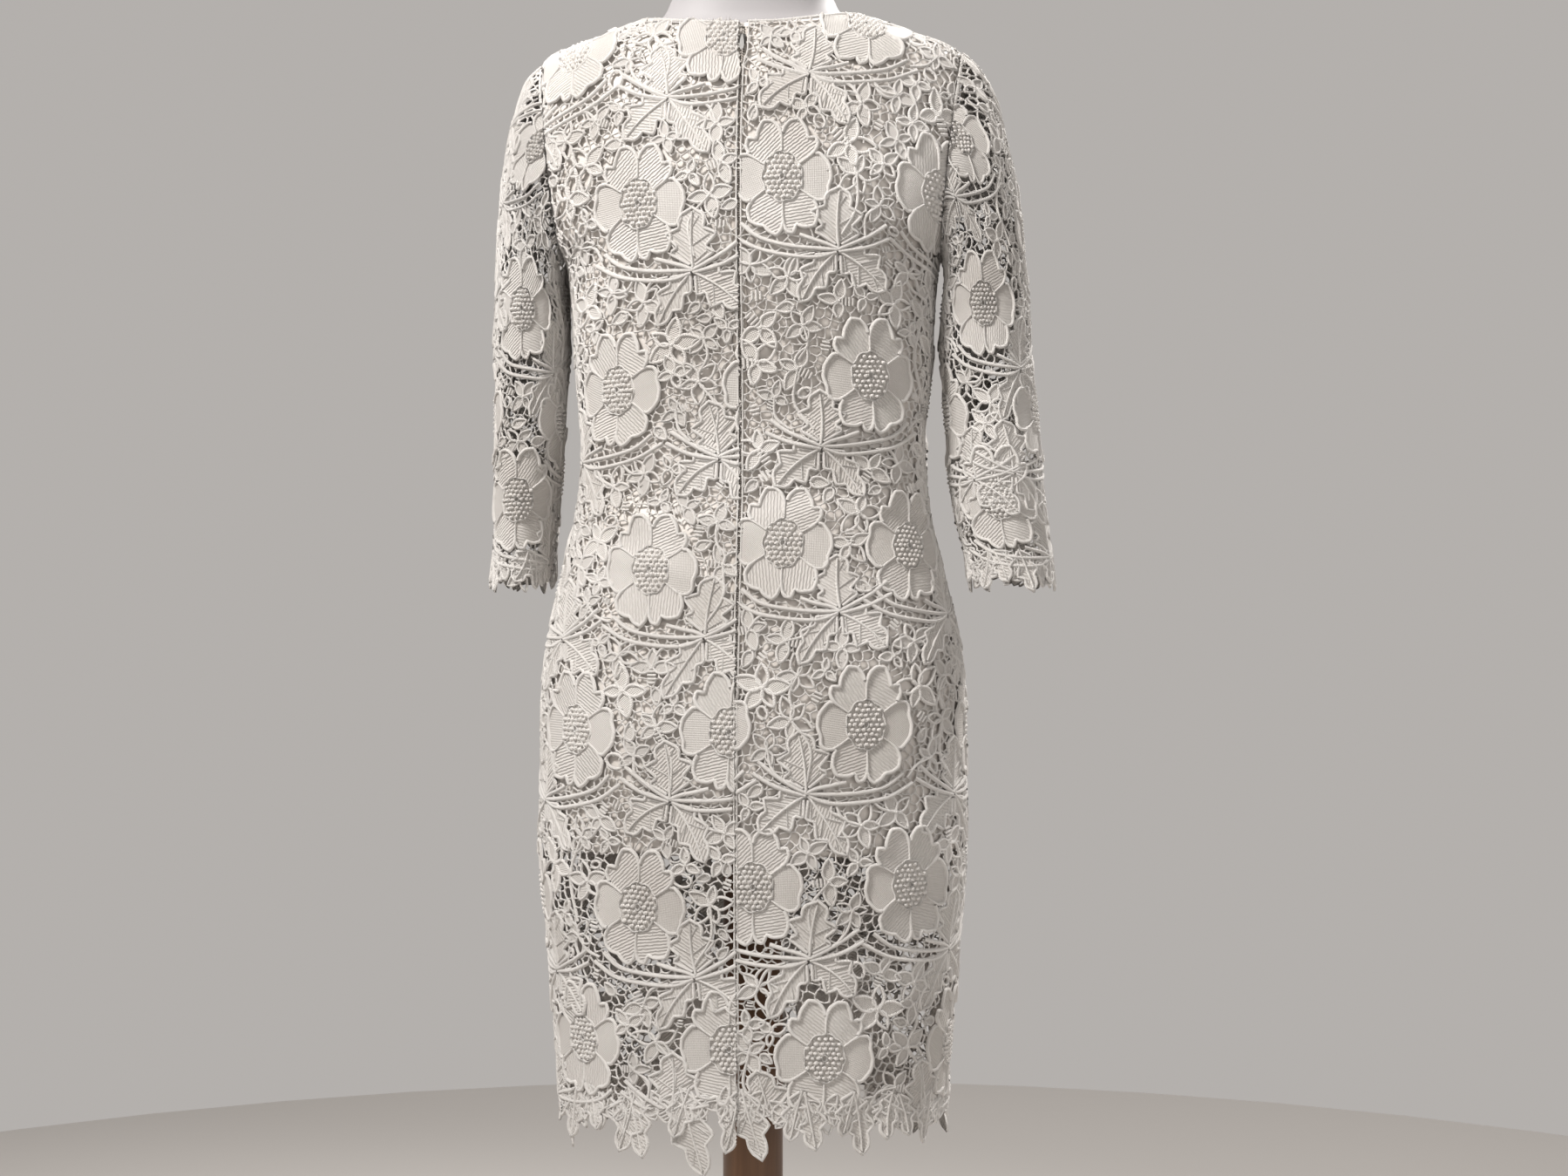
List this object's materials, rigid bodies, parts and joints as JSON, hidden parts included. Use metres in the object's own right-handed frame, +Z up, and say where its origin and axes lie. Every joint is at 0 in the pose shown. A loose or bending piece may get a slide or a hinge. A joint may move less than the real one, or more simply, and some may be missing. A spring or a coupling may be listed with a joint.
{
  "type": "lace dress on a dress form",
  "caption": "Knee-length fitted dress of heavy flower lace with three-quarter sleeves and a back zip, standing on a limbless dress form with a round wooden stand.",
  "frame": {"origin": "middle of the flat underside of the wooden base, on the floor, under the pole", "axes": "+Z up, -Y is the front of the dress, +Y is the back with the zip, +X is the wearer's left"},
  "size_m": [0.4932, 0.38, 1.532],
  "materials": {
    "white_form": "smooth white jersey over a hard shell",
    "walnut": "dark stained, satin",
    "lining": "ivory satin",
    "lace": "heavy corded flower lace, matt",
    "zip_tape": "woven tape with a nylon coil",
    "dark_nickel": "dark nickel",
    "bright_steel": "bright"
  },
  "bodies": {
    "dress": {"form_torso": "white_form", "stand_pole": "walnut", "stand_base": "walnut", "lining_front": "lining", "lining_back_left": "lining", "lining_back_right": "lining", "lace_front": "lace", "lace_back_left": "lace", "lace_back_right": "lace", "sleeve_left_front": "lace", "sleeve_left_back": "lace", "sleeve_right_front": "lace", "sleeve_right_back": "lace", "zip_tape": "zip_tape", "zip_slider": "dark_nickel"},
    "zip_pull": {"zip_pull": "bright_steel"}
  },
  "joints": [
    {"name": "zip_pull_swing", "type": "hinge", "parent": "dress", "child": "zip_pull", "pos_m": [0, 0.07502, 1.41295], "axis": [1, 0, 0], "range_deg": [0, 150]}
  ]
}
